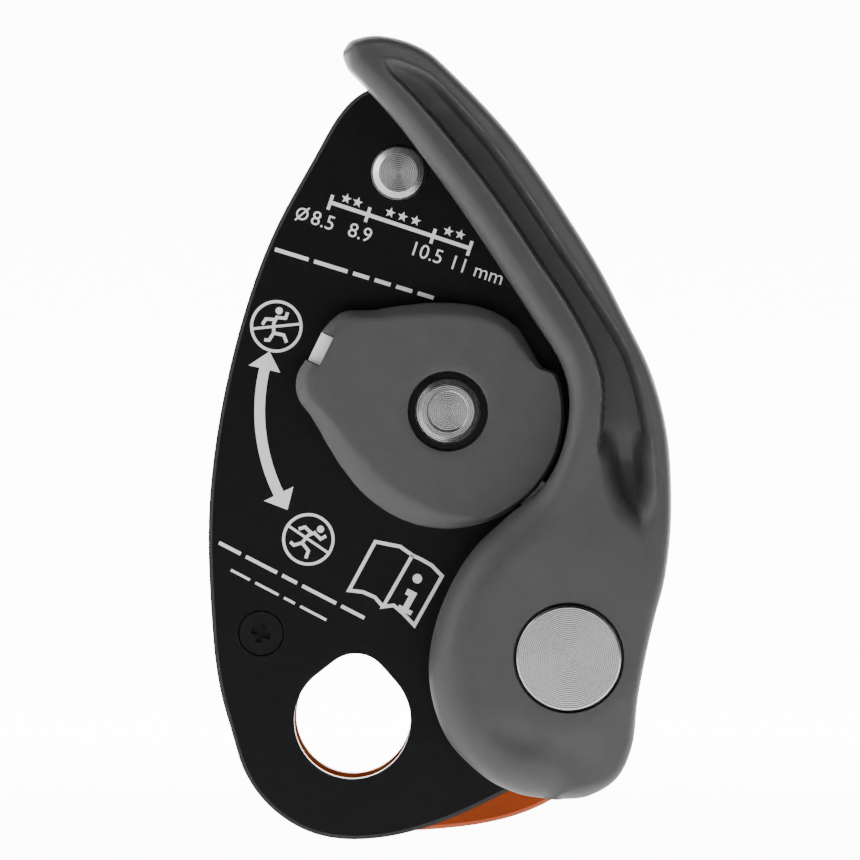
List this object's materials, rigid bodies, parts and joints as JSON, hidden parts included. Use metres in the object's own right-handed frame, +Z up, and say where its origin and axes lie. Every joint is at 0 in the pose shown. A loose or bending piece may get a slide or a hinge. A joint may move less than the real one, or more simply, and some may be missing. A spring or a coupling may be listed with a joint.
{
  "type": "rope grab",
  "caption": "Rope grab with assisted braking: two side plates, a cam between them, a release handle and a selector knob.",
  "frame": {"origin": "centre of the attachment hole, halfway between the side plates", "axes": "+Z up the plates towards the nose, +Y from the fixed plate to the moving plate, -Y the handle side"},
  "size_m": [0.0692, 0.0351, 0.1199],
  "materials": {
    "black_anodised": "satin",
    "orange_anodised": "satin",
    "grey_nylon": "matte",
    "white_plastic": "semi-gloss",
    "black_steel": "satin",
    "bronze": "satin",
    "turned_steel": "turned",
    "steel": "satin"
  },
  "bodies": {
    "frame": {"fixed_side_plate": "black_anodised", "cam_axle": "steel", "knob_washer": "black_steel", "handle_axle": "steel", "pivot_cap": "turned_steel", "axle_spacer": "steel", "wave_washer": "steel", "nose_rivet": "steel", "nose_post": "steel", "stop_post": "black_anodised", "post_screw": "black_steel", "spring_post": "steel", "friction_plate": "steel", "friction_rivets": "steel"},
    "cam": {"cam": "steel", "cam_bush": "bronze", "link_pin": "steel", "release_arm": "steel", "cam_spring": "steel"},
    "handle": {"handle": "grey_nylon", "handle_bush": "bronze", "handle_spring": "steel", "clutch_ball": "steel", "clutch_spring": "steel"},
    "release_lobe": {"release_lobe": "steel"},
    "selector": {"selector_knob": "grey_nylon", "detent_ball": "steel", "detent_spring": "steel", "button_spring": "steel"},
    "button": {"selector_button": "white_plastic"},
    "moving_plate": {"moving_side_plate": "orange_anodised", "plate_bush": "bronze"}
  },
  "joints": [
    {"name": "handle_pivot", "type": "hinge", "parent": "frame", "child": "handle", "pos_m": [0.0322, 0, 0.00985], "axis": [0, 1, 0], "range_deg": [0, 105], "stiffness_Nm_per_rad": 0.02, "springref_deg": -85.94, "deforming": ["handle_spring"]},
    {"name": "clutch_slip", "type": "hinge", "parent": "handle", "child": "release_lobe", "pos_m": [0.0322, 0, 0.00985], "axis": [0, 1, 0], "range_deg": [-45, 0], "stiffness_Nm_per_rad": 0.004, "springref_deg": 45.84, "deforming": ["clutch_spring"]},
    {"name": "cam_pivot", "type": "hinge", "parent": "frame", "child": "cam", "pos_m": [0.0143, 0, 0.0464], "axis": [0, 1, 0], "range_deg": [0, 28], "stiffness_Nm_per_rad": 0.02, "springref_deg": -45.84, "deforming": ["cam_spring"]},
    {"name": "selector_turn", "type": "hinge", "parent": "frame", "child": "selector", "pos_m": [0.0143, 0, 0.0464], "axis": [0, 1, 0], "range_deg": [-69, 0], "deforming": ["detent_spring"]},
    {"name": "selector_button", "type": "slide", "parent": "selector", "child": "button", "axis": [0.898, 0, -0.4399], "range_m": [0, 0.0015], "stiffness_N_per_m": 300, "springref_m": -0.003, "deforming": ["button_spring"]},
    {"name": "plate_pivot", "type": "hinge", "parent": "frame", "child": "moving_plate", "pos_m": [0.0322, 0, 0.00985], "axis": [0, 1, 0], "range_deg": [-100, 0]}
  ]
}
